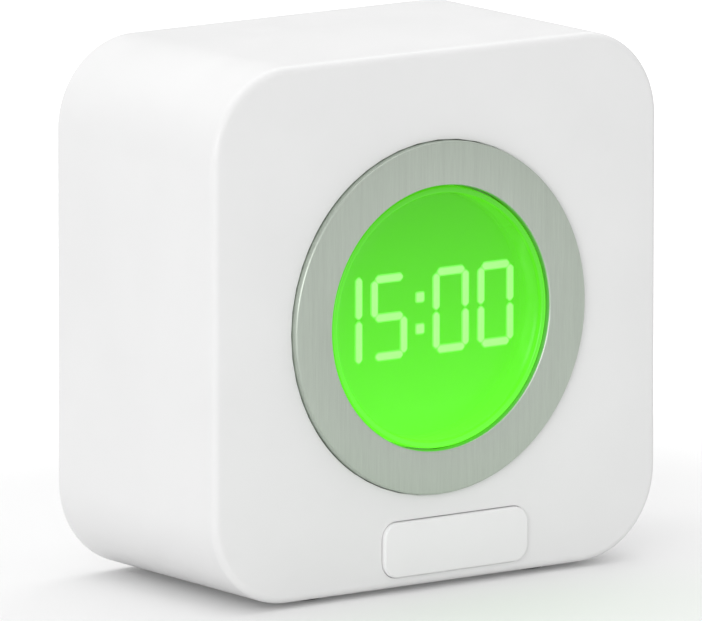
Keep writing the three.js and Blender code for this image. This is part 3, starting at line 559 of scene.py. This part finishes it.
for subpart in frame["record"]["subparts"]:
    node = frame["nodes"][subpart["node"]]
    node.data.materials.clear()
    node.data.materials.append(MATERIALS[subpart["material_slot"]])


def place(obj, body, slot, *replaced, material=None):
    """Gives a finished piece its material and the body that it rides on, and hides the nodes that it stands
    for.
    """
    obj.data.materials.clear()
    obj.data.materials.append(material or MATERIALS[slot])
    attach(obj, body)
    if replaced:
        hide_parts(*replaced)


# ---------------------------------------------------------------- casing


def casing_shell():
    """The whole front moulding as one closed skin, section by section from its rear rim round and back."""
    bm = bmesh.new()
    well = RING_OUTER + WELL_GAP
    reference = rounded_outline(HALF_W - EDGE, HALF_H - EDGE, CORNER - EDGE)
    angles = [math.atan2(y, x) for x, y in reference]

    def square(inset, z):
        outline = rounded_outline(HALF_W - inset, HALF_H - inset, max(CORNER - inset, 0.05))
        return add_ring(bm, [(x, y, z) for x, y in outline])

    def circle(radius, z):
        return add_ring(bm, [(radius * math.cos(a), radius * math.sin(a), z) for a in angles])

    inside_front = FACE_Z - FRONT_WALL
    rings = [square(SIDE_WALL, REAR_Z + REAR_RIM), square(SIDE_WALL - REAR_RIM, REAR_Z)]
    rings += [square(inset, REAR_Z + depth) for inset, depth in edge_steps(REAR_EDGE, 6)]
    rings += [square(inset, FACE_Z - depth) for inset, depth in reversed(edge_steps(EDGE, 8))]
    rings += [circle(well + inset, FACE_Z - depth) for inset, depth in edge_steps(WELL_LIP, 4)]
    rings += [circle(well, WELL_FLOOR), circle(OPENING, WELL_FLOOR), circle(OPENING, WELL_BACK)]
    rings += [circle(well + WELL_WALL, WELL_BACK), circle(well + WELL_WALL, inside_front)]
    rings += [square(SIDE_WALL + INNER_EDGE, inside_front), square(SIDE_WALL, inside_front - INNER_EDGE)]
    for ring_a, ring_b in zip(rings, rings[1:] + rings[:1]):
        bridge(bm, ring_a, ring_b)
    shell = boolean(make_object("casing_shell", bm), casing_pillars(), "UNION")
    return soften(boolean(shell, casing_pockets()), 0.1, 2, 60)


def casing_pockets():
    """Tools for the name plate's pocket, the feet's recesses and the screws' pilot holes."""
    middle = (BADGE_LOW + BADGE_HIGH) / 2
    half = (BADGE_HIGH - BADGE_LOW) / 2
    wide, high_half = half.x + BADGE["gap"], half.y + BADGE["gap"]
    floor_z = BADGE_LOW.z - SEAT_GAP
    pocket = (wide, high_half, BADGE["pocket_corner"], floor_z, FACE_Z + PAST, 0, 0, middle.x, middle.y)
    tools = [slab("badge_pocket", *pocket)]
    for i, (low, high) in enumerate(FOOT_BOXES):
        middle = (low + high) / 2
        radius = (high.x - low.x) / 2 + SEAT_GAP
        top = FOOT["recess"] - HALF_H
        tools.append(post(f"foot_pocket_{i}", radius, -HALF_H - PAST, top, middle.x, middle.z))
    for part, middles in ((BOSS, SCREW_MIDDLES), (POST, POST_MIDDLES)):
        for middle in middles:
            back, tip = part["back"] - PAST, part["back"] + part["pilot"]
            tools.append(rod("pilot", PILOT_RADIUS, back, tip, middle.x, middle.y, 24))
    return tools


def casing_pillars():
    """Four ribbed bosses for the cover's screws and four posts that carry the display frame."""
    front = FACE_Z - FRONT_WALL / 2
    pillars = [rod("post", POST["radius"], POST["back"], front, at.x, at.y, 48) for at in POST_MIDDLES]
    for at in SCREW_MIDDLES:
        pillars.append(rod("boss", BOSS["radius"], BOSS["back"], front, at.x, at.y, 48))
        half = BOSS["rib_half"]
        rib = cuboid("rib", (0, -half, BOSS["back"]), (BOSS["rib_reach"], half, front))
        turn = Matrix.Rotation(math.atan2(at.y, at.x), 4, "Z")
        rib.data.transform(TO_ROW @ Matrix.Translation((at.x, at.y, 0)) @ turn @ TO_ROW.inverted())
        pillars.append(rib)
    return pillars


place(casing_shell(), "casing", "casing_plastic", "front_shell")


def name_plate():
    middle = (BADGE_LOW + BADGE_HIGH) / 2
    half = (BADGE_HIGH - BADGE_LOW) / 2
    rounds = (BADGE["back_round"], BADGE["front_round"])
    ends = (BADGE_LOW.z, BADGE_HIGH.z)
    return slab("blank_plate", half.x, half.y, BADGE["corner"], *ends, *rounds, middle.x, middle.y, 6, 14)


place(name_plate(), "casing", "name_plate", "name_plate")


def foot(index, low, high):
    middle = (low + high) / 2
    radius = (high.x - low.x) / 2
    bend = FOOT["round"]
    profile = [(0, low.y), (radius - bend, low.y)] + arc(radius - bend, low.y + bend, bend, -90, 0, 4)
    profile += [(radius, high.y), (0, high.y)]
    obj = lathe(f"foot_{index}", profile, 64)
    return stand(obj, middle.x, middle.z)


for number, (low, high) in enumerate(FOOT_BOXES, 1):
    place(foot(number, low, high), "casing", "foot_rubber", f"rubber_foot_{number}")

# ---------------------------------------------------------------- dial and display


def dial_ring():
    """A flat brushed face with small rounded edges."""
    r = RING_ROUND
    profile = [(RING_INNER, RING_BACK), (RING_OUTER, RING_BACK)]
    profile += arc(RING_OUTER - r, RING_FRONT - r, r, 0, 90, 5)
    profile += arc(RING_INNER + r, RING_FRONT - r, r, 90, 180, 5)
    return lathe("brushed_dial_ring", profile, 256, closed=True)


def lens_rim():
    """The rolled rim with the skirt behind it and its three hooks and leg."""
    inner_rim = LENS_OUTER - RIM_WIDTH
    skirt_back = LENS_RIM - SKIRT_DEPTH
    outer, inner = RIM_ROUND["outer"], RIM_ROUND["inner"]
    profile = [(inner_rim, skirt_back), (LENS_OUTER, skirt_back)]
    profile += arc(LENS_OUTER - outer, LENS_RIM - outer, outer, 0, 90, 6)
    profile += arc(inner_rim + inner, LENS_RIM - inner, inner, 90, 180, 5)
    bowl = lathe("lens_rim", profile, 256, closed=True)
    reach = (LENS_OUTER - CATCH["bite"], LENS_OUTER + CATCH["reach"])
    front = skirt_back + CATCH["thick"]
    size = (*reach, CATCH["width"], skirt_back, front)
    catches = [radial_block("catch", degrees, *size) for degrees in (90, 210, 330)]
    reach = (LENS_OUTER - LEG["inner"], LENS_OUTER - LEG["outer"])
    catches.append(radial_block("leg", 270, *reach, LEG["width"], LENS_LOW.z, skirt_back + LEG["bite"]))
    return boolean(bowl, catches, "UNION")


def radial_block(name, degrees, inner, outer, width, back, front):
    """A block that stands at an angle round the z axis, from an inner to an outer radius."""
    obj = cuboid(name, (inner, -width / 2, back), (outer, width / 2, front))
    obj.data.transform(TO_ROW @ Matrix.Rotation(math.radians(degrees), 4, "Z") @ TO_ROW.inverted())
    return obj


def lens_window():
    """The dish itself: a gently crowned floor that sweeps up to the rim. Its edge is buried in the rim."""
    radial, rise = DISH_FILLET
    edge = LENS_OUTER - RIM_WIDTH + 0.05
    crown_r = edge - radial
    floor_z = LENS_RIM - DISH_DEPTH
    back = floor_z - LENS_FLOOR
    start = floor_z + DISH_CROWN
    angles = [math.pi / 2 * i / 24 for i in range(25)]
    sweep = [(crown_r + radial * math.cos(a), start + rise * (1 - math.sin(a))) for a in angles]
    crown = [(crown_r * (1 - i / 16), floor_z + DISH_CROWN * (1 - i / 16) ** 2) for i in range(1, 17)]
    return lathe("lens_window", [(0, back), (edge, back)] + sweep + crown, 256)


place(dial_ring(), "dial", "dial_metal", "dial_ring")
# The rim's emission of 1.06, a little over the window's 1.0, is the backlight plus painted light for the
# bright band along the dish's wall.
place(lens_rim(), "display_button", "display_lens", "display_lens", material=lit_lens("lit_rim_painted_highlight", 1.0, 1.06))
place(lens_window(), "display_button", "display_lens")

DIGIT = {"width": 6.5, "height": 12.7, "stroke": 1.22, "slit": 0.24, "pitch": 8.1, "colon_pitch": 11.15}
SHOWN = "1500"
# Which of the seven bars each numeral lights.
BARS = {
    "5": ("top", "middle", "bottom", "upper_left", "lower_right"),
    "0": ("top", "bottom", "upper_left", "upper_right", "lower_left", "lower_right"),
}


def digit_bars(numeral, x):
    """(middle x, middle y, half length, upright) of each lit bar of a numeral centred on x."""
    slit = DIGIT["slit"] * 0.7
    right = (DIGIT["width"] - DIGIT["stroke"]) / 2
    top = (DIGIT["height"] - DIGIT["stroke"]) / 2
    across = right - slit
    tall = top / 2 - slit
    if numeral == "1":
        # This numeral is drawn to the full height of the others.
        half = (DIGIT["height"] / 2 - slit) / 2
        return [(x + right, side * (DIGIT["height"] / 2 - half), half, True) for side in (-1, 1)]
    places = {
        "top": (x, top, across, False),
        "middle": (x, 0, across, False),
        "bottom": (x, -top, across, False),
        "upper_right": (x + right, top / 2, tall, True),
        "lower_right": (x + right, -top / 2, tall, True),
        "upper_left": (x - right, top / 2, tall, True),
        "lower_left": (x - right, -top / 2, tall, True),
    }
    return [places[name] for name in BARS[numeral]]


def bar_outline(x, y, half, upright, grow=0.0):
    """A pointed bar with its corners taken off."""
    width = DIGIT["stroke"] / 2 + grow
    half = half + grow
    nib = 0.16
    points = [(half, nib), (half - width + nib, width), (width - nib - half, width), (-half, nib)]
    points += [(-u, -v) for u, v in points]
    return [(x - v, y + u) if upright else (x + u, y + v) for u, v in points]


def raised(bm, outline, back, front, taper=0.12):
    """A small raised pad with a sloping edge."""
    cx = sum(p[0] for p in outline) / len(outline)
    cy = sum(p[1] for p in outline) / len(outline)
    reach = max(math.hypot(px - cx, py - cy) for px, py in outline)
    shrink = 1 - taper / reach
    low = add_ring(bm, [(px, py, back) for px, py in outline])
    mid = add_ring(bm, [(px, py, front - taper / 2) for px, py in outline])
    top = add_ring(bm, [(cx + (px - cx) * shrink, cy + (py - cy) * shrink, front) for px, py in outline])
    bridge(bm, low, mid)
    bridge(bm, mid, top)
    bm.faces.new(list(reversed(low)))
    bm.faces.new(top)


def dot_outline(x, y, radius, count=16):
    """A small square with well-rounded corners."""
    return rounded_outline(radius, radius, radius * 0.45, x, y, count // 4, 1)


def lit_digits(name, grow, back, front):
    near = DIGIT["colon_pitch"] / 2
    far = near + DIGIT["pitch"]
    bm = bmesh.new()
    for numeral, x in zip(SHOWN, (-far, -near, near, far)):
        for bar in digit_bars(numeral, x):
            raised(bm, bar_outline(*bar, grow), back, front)
    for side in (-1, 1):
        raised(bm, dot_outline(0, side * 2.35, 0.78 + grow), back, front)
    return make_object(name, bm, 60)


def plate_behind():
    """A plain lit disc in place of the plate. Its unlit bars don't show through the lens."""
    radius = PLATE_HIGH.x
    top = PLATE_HIGH.z - 0.2
    profile = [(0, PLATE_LOW.z), (radius, PLATE_LOW.z), (radius, top), (0, top)]
    return lathe("display_plate", profile, 96)


place(plate_behind(), "casing", "display_segments", "digit_plate")
HALO = lit_segment("segment_halo", (0.34, 1.0, 0.22), 1.1)
CORE = lit_segment("segment_core", (0.66, 1.0, 0.50), 1.3)
top_z = PLATE_HIGH.z
place(lit_digits("digit_halo", 0.07, top_z - 0.3, top_z - 0.1), "casing", "display_segments", material=HALO)
place(lit_digits("digit_core", -0.12, top_z - 0.3, top_z), "casing", "display_segments", material=CORE)

# ---------------------------------------------------------------- back


def rear_panel():
    half_w, half_h = COVER_HIGH.x, (COVER_HIGH.y - COVER_LOW.y) / 2
    corner = CORNER - SIDE_WALL - SEAT_GAP
    panel = slab("rear_panel", half_w, half_h, corner, REAR_Z, COVER_INNER, 0.5, 0.2, arc_steps=20)
    panel = boolean(panel, cover_fittings(), "UNION")
    return soften(boolean(panel, cover_holes()), 0.12, 2, 60)


def cover_holes():
    """Tools for every opening and recess of the rear cover."""
    behind, beyond = REAR_Z - PAST, COVER_INNER + PAST
    tools = []
    for i, middle in enumerate(SCREW_MIDDLES):
        low, high = SCREW_BOXES[i]
        sink = (high.x - low.x) / 2 + POCKET_GAP
        tools.append(rod(f"sink_{i}", sink, behind, REAR_Z + SCREW["sink"], middle.x, middle.y, 48))
        tools.append(rod(f"hole_{i}", SCREW["hole"], REAR_Z, beyond, middle.x, middle.y, 24))
    for ring in range(SOUND["rings"] + 1):
        count = max(6 * ring, 1)
        for i in range(count):
            a = 2 * math.pi * i / count
            reach = SOUND["pitch"] * ring
            x, y = reach * math.cos(a), SOUND["y"] + reach * math.sin(a)
            tools.append(rod(f"sound_{ring}_{i}", SOUND["radius"], behind, beyond, x, y, 24))
    middle = (USB_LOW + USB_HIGH) / 2
    half = (USB_HIGH - USB_LOW) / 2
    way = (half.x + POCKET_GAP, half.y + POCKET_GAP, 1.6)
    tools.append(slab("usb_way", *way, behind, beyond, 0, 0, middle.x, middle.y))
    y = (KNOB_LOW.y + KNOB_HIGH.y) / 2
    way = (SWITCH["half_w"] + SWITCH["travel"] + POCKET_GAP, SWITCH["half_h"] + POCKET_GAP, 0.4)
    knob_floor = REAR_Z + SWITCH["proud"] + POCKET_GAP
    tools.append(slab("knob_way", *way, behind, knob_floor, 0, 0, SWITCH["x"], y))
    way = (SWITCH["stem_w"], SWITCH["stem_h"], 0.2)
    tools.append(slab("stem_way", *way, REAR_Z, beyond, 0, 0, SWITCH["x"], y))
    middle = (PIPE_LOW + PIPE_HIGH) / 2
    tools.append(rod("pipe_way", PIPE["way"], behind, beyond, middle.x, middle.y, 32))
    way = (LABEL["half_w"], LABEL["half_h"], LABEL["corner"])
    tools.append(slab("label_way", *way, behind, REAR_Z + LABEL["depth"], 0, 0, 0, LABEL["y"]))
    return tools


def cover_fittings():
    """The standing corners round the battery and the two shelves under the socket board."""
    root, front = COVER_INNER - PAST, COVER_INNER + TRAY["height"]
    fit, wall, reach = TRAY["fit"], TRAY["wall"], TRAY["reach"]
    fittings = []

    def block(name, xs, ys, top):
        fittings.append(cuboid(name, (min(xs), min(ys), root), (max(xs), max(ys), top)))

    for sx in (-1, 1):
        side = sx * (BATTERY_HIGH.x + fit)
        for sy, edge in ((-1, BATTERY_LOW.y - fit), (1, BATTERY_HIGH.y + fit)):
            block("tray_wall", (side + sx * wall, side - sx * reach), (edge, edge + sy * wall), front)
            block("tray_wall", (side, side + sx * wall), (edge, edge - sy * reach), front)
        middle = sx * (IO_HIGH.x - SHELF["half"])
        top = IO_LOW.y - SEAT_GAP
        xs = (middle - SHELF["half"], middle + SHELF["half"])
        block("shelf", xs, (top - SHELF["thick"], top), COVER_INNER + SHELF["depth"])
    return fittings


def cross_screw(index, low, high):
    """A domed head with a cross recess, on a plain shank."""
    middle = (low + high) / 2
    head = (high.x - low.x) / 2
    crown = low.z
    seat = crown + SCREW["head"]
    profile = [(0, crown), (head * 0.55, crown + 0.03)]
    profile += [(head * 0.82, crown + 0.14), (head * 0.95, crown + 0.36), (head, crown + 0.7), (head, seat)]
    profile += [(SCREW["shank"], seat), (SCREW["shank"], high.z - SCREW["tip_length"])]
    profile += [(SCREW["tip"], high.z), (0, high.z)]
    screw = lathe(f"cover_screw_head_{index}", profile, 48, middle.x, middle.y)
    tools = []
    for half_x, half_y in ((CROSS["reach"], CROSS["half"]), (CROSS["half"], CROSS["reach"])):
        low_corner = (middle.x - half_x, middle.y - half_y, crown - PAST)
        high_corner = (middle.x + half_x, middle.y + half_y, crown + CROSS["depth"])
        tools.append(cuboid("slot", low_corner, high_corner))
    return soften(boolean(screw, tools), 0.05, 2, 50)


place(rear_panel(), "casing", "casing_plastic", "rear_cover")
for number, (low, high) in enumerate(SCREW_BOXES, 1):
    place(cross_screw(number, low, high), "casing", "screw_steel", f"cover_screw_{number}")


def socket():
    """The drawn steel shell of the charging socket, with a rolled mouth."""
    middle = (USB_LOW + USB_HIGH) / 2
    half = (USB_HIGH - USB_LOW) / 2
    corner, wall, bend = USB["corner"], USB["wall"], USB["round"]
    at = (middle.x, middle.y, 3, 14)
    shell = slab("usb_shell", half.x, half.y, corner, USB_LOW.z, USB_HIGH.z, bend, bend, *at)
    ends = (USB_LOW.z - PAST, USB_LOW.z + USB["depth"])
    mouth = slab("mouth", half.x - wall, half.y - wall, corner - wall, *ends, 0, 0, *at)
    return soften(boolean(shell, [mouth]), 0.06, 2, 60)


def slider():
    """The power switch's knob with its grip ridges."""
    middle = (KNOB_LOW + KNOB_HIGH) / 2
    half = (KNOB_HIGH - KNOB_LOW) / 2
    tip, root = KNOB_LOW.z, KNOB_LOW.z + KNOB["thick"]
    shape = (half.x, half.y, KNOB["corner"], tip, root, KNOB["back_round"], KNOB["front_round"])
    knob = slab("power_knob_grip", *shape, middle.x, middle.y, 4, 8)
    grooves = []
    for i in (-1, 0, 1):
        x = middle.x + i * GROOVE["pitch"]
        low = (x - GROOVE["half"], middle.y - 2 * half.y, tip - PAST)
        high = (x + GROOVE["half"], middle.y + 2 * half.y, tip + GROOVE["depth"])
        grooves.append(cuboid("groove", low, high))
    knob = soften(boolean(knob, grooves), 0.06, 2, 50)
    low = (middle.x - KNOB["stem_w"], middle.y - KNOB["stem_h"], root)
    high = (middle.x + KNOB["stem_w"], middle.y + KNOB["stem_h"], KNOB_HIGH.z)
    return joined("power_knob_grip", [knob, cuboid("stem", low, high)])


def pipe():
    middle = (PIPE_LOW + PIPE_HIGH) / 2
    flange = (PIPE_HIGH.x - PIPE_LOW.x) / 2
    tip, radius = PIPE_LOW.z, PIPE["radius"]
    flange_z = PIPE_HIGH.z - PIPE["flange"]
    profile = [(0, tip), (radius * 0.6, tip + 0.02), (radius * 0.9, tip + 0.12), (radius, tip + 0.35)]
    profile += [(radius, flange_z), (flange, flange_z), (flange, PIPE_HIGH.z), (0, PIPE_HIGH.z)]
    return lathe("status_pipe", profile, 40, middle.x, middle.y)


place(socket(), "casing", "socket_steel", "usb_socket")
place(slider(), "power_knob", "knob_plastic", "power_slider")
place(pipe(), "casing", "light_pipe", "light_pipe")

# ---------------------------------------------------------------- floor, light and camera


def floor():
    """A pale floor that keeps the shadow. Seen directly it is lifted to white."""
    mesh = bpy.data.meshes.new("floor")
    size, level = 3.0, -0.00002
    corners = [(-size, -size, level), (size, -size, level), (size, size, level), (-size, size, level)]
    mesh.from_pydata(corners, [], [(0, 1, 2, 3)])
    obj = link("floor", mesh)
    surface = Surface("floor", (0.8, 0.8, 0.8), 0.9)
    surface.shader.inputs["Specular IOR Level"].default_value = 0.0
    surface.vary_color(surface.noise(2.0), 0.995, 1.0)
    lift = surface.node("ShaderNodeEmission")
    path = surface.node("ShaderNodeLightPath")
    away = surface.node("ShaderNodeVectorMath", operation="LENGTH")
    surface.link(surface.coords, away.inputs[0])
    rise = surface.node("ShaderNodeMapRange", interpolation_type="SMOOTHSTEP")
    for socket, value in zip(("From Min", "From Max", "To Min", "To Max"), FLOOR_LIFT):
        rise.inputs[socket].default_value = value
    surface.link(away.outputs["Value"], rise.inputs["Value"])
    amount = surface.node("ShaderNodeMath", operation="MULTIPLY")
    surface.link(rise.outputs["Result"], amount.inputs[1])
    surface.link(path.outputs["Is Camera Ray"], amount.inputs[0])
    surface.link(amount.outputs[0], lift.inputs["Strength"])
    total = surface.node("ShaderNodeAddShader")
    surface.link(surface.shader.outputs[0], total.inputs[0])
    surface.link(lift.outputs[0], total.inputs[1])
    output = surface.tree.nodes["Material Output"]
    surface.link(total.outputs[0], output.inputs["Surface"])
    obj.data.materials.append(surface.material)


# The lift grows from its third figure to its fourth between these two distances from the middle, in metres.
FLOOR_LIFT = (0.075, 0.2, 0.10, 0.55)


def area_light(name, place_at, aim, size, power):
    data = bpy.data.lights.new(name, "AREA")
    data.shape = "SQUARE"
    data.size = size
    data.energy = power
    obj = bpy.data.objects.new(name, data)
    bpy.context.scene.collection.objects.link(obj)
    obj.location = place_at
    obj.rotation_euler = (Vector(aim) - Vector(place_at)).to_track_quat("-Z", "Y").to_euler()


def world():
    made = bpy.data.worlds.new("studio")
    made.use_nodes = True
    tree = made.node_tree
    background = tree.nodes["Background"]
    path = tree.nodes.new("ShaderNodeLightPath")
    seen = tree.nodes.new("ShaderNodeMath")
    seen.operation = "MAXIMUM"
    tree.links.new(path.outputs["Is Camera Ray"], seen.inputs[0])
    tree.links.new(path.outputs["Is Transmission Ray"], seen.inputs[1])
    strength = tree.nodes.new("ShaderNodeMapRange")
    strength.inputs["To Min"].default_value = WORLD_LIGHT
    strength.inputs["To Max"].default_value = 1.0
    tree.links.new(seen.outputs[0], strength.inputs["Value"])
    tree.links.new(strength.outputs["Result"], background.inputs["Strength"])
    background.inputs["Color"].default_value = (1, 1, 1, 1)
    bpy.context.scene.world = made


WORLD_LIGHT = 0.7


def camera():
    """The view from the front left and a little above, from far off."""
    azimuth, elevation, distance = math.radians(-35.8), math.radians(10.2), 2.086
    data = bpy.data.cameras.new("camera")
    data.sensor_width = 36
    data.lens = 728
    data.clip_end = 20
    obj = bpy.data.objects.new("camera", data)
    bpy.context.scene.collection.objects.link(obj)
    level = math.cos(elevation)
    back = Vector((math.sin(azimuth) * level, -math.cos(azimuth) * level, math.sin(elevation)))
    right = Vector((math.cos(azimuth), math.sin(azimuth), 0))
    up = back.cross(right)
    target = Vector((0, 0, AXIS_Z)) + right * -0.00098 + up * -0.00188
    obj.location = target + back * distance
    obj.rotation_euler = Matrix((right, up, back)).transposed().to_euler()
    bpy.context.scene.camera = obj


camera()
world()
floor()
area_light("top_soft", (0.0, 0.2, 1.0), (0, 0, 0.04), 1.0, 3.0)
area_light("right_back_soft", (0.75, 0.35, 0.9), (0, 0, 0.04), 0.6, 1.3)
area_light("left_back_soft", (-0.6, 0.6, 0.9), (0, 0, 0.04), 0.6, 1.1)
area_light("left_soft", (-1.05, -0.9, 0.35), (0, 0, 0.04), 0.8, 6.3)
bpy.context.scene.view_settings.view_transform = "Standard"
